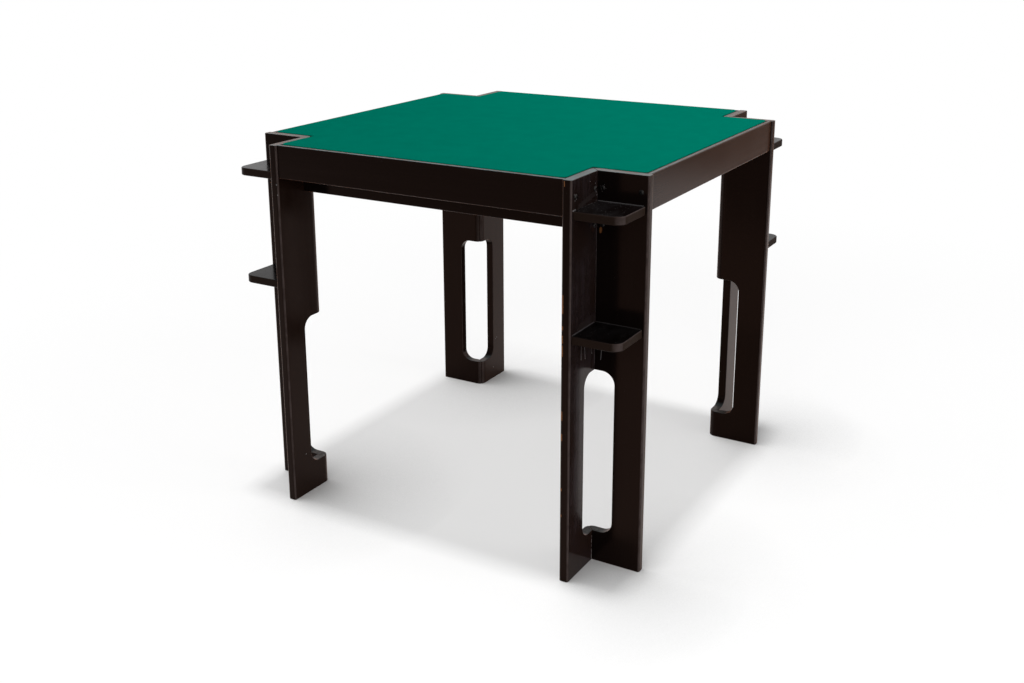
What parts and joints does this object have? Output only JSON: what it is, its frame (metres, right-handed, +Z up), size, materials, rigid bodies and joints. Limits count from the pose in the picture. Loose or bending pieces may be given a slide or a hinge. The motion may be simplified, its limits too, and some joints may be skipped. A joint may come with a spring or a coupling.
{
  "type": "games table",
  "caption": "Square black-lacquered games table with a drop-in green felt top, notched corners with open shelves, and slotted angle legs made of mitred boards.",
  "frame": {"origin": "on the floor under the middle of the top", "axes": "+Z up, +X right along the front apron, +Y from the front to the back"},
  "size_m": [0.84, 0.84, 0.74],
  "materials": {
    "black_lacquered_wood": "gloss black-brown lacquer",
    "panel_wood": "bare plywood",
    "green_felt": "woollen felt",
    "black_steel": "black-finished steel",
    "plated_steel": "zinc-plated steel",
    "pale_hardwood": "bare"
  },
  "bodies": {
    "frame": {"front_left_leg_right_board": "black_lacquered_wood", "front_left_leg_left_board": "black_lacquered_wood", "front_right_leg_right_board": "black_lacquered_wood", "front_right_leg_left_board": "black_lacquered_wood", "back_right_leg_right_board": "black_lacquered_wood", "back_right_leg_left_board": "black_lacquered_wood", "back_left_leg_right_board": "black_lacquered_wood", "back_left_leg_left_board": "black_lacquered_wood", "front_apron": "black_lacquered_wood", "right_apron": "black_lacquered_wood", "back_apron": "black_lacquered_wood", "left_apron": "black_lacquered_wood", "front_inner_rail": "black_lacquered_wood", "right_inner_rail": "black_lacquered_wood", "back_inner_rail": "black_lacquered_wood", "left_inner_rail": "black_lacquered_wood", "front_left_upper_shelf": "black_lacquered_wood", "front_right_upper_shelf": "black_lacquered_wood", "back_right_upper_shelf": "black_lacquered_wood", "back_left_upper_shelf": "black_lacquered_wood", "front_left_lower_shelf": "black_lacquered_wood", "front_right_lower_shelf": "black_lacquered_wood", "back_right_lower_shelf": "black_lacquered_wood", "back_left_lower_shelf": "black_lacquered_wood", "apron_bolts": "black_steel", "rail_bolts": "black_steel", "apron_barrel_nuts": "plated_steel", "rail_barrel_nuts": "plated_steel", "shelf_dowels": "pale_hardwood", "mitre_tongues": "pale_hardwood"},
    "top": {"top_board": "panel_wood", "felt_top": "green_felt"}
  },
  "joints": [
    {"name": "top_lift", "type": "slide", "parent": "frame", "child": "top", "axis": [0, 0, 1], "range_m": [0, 0.12]}
  ]
}
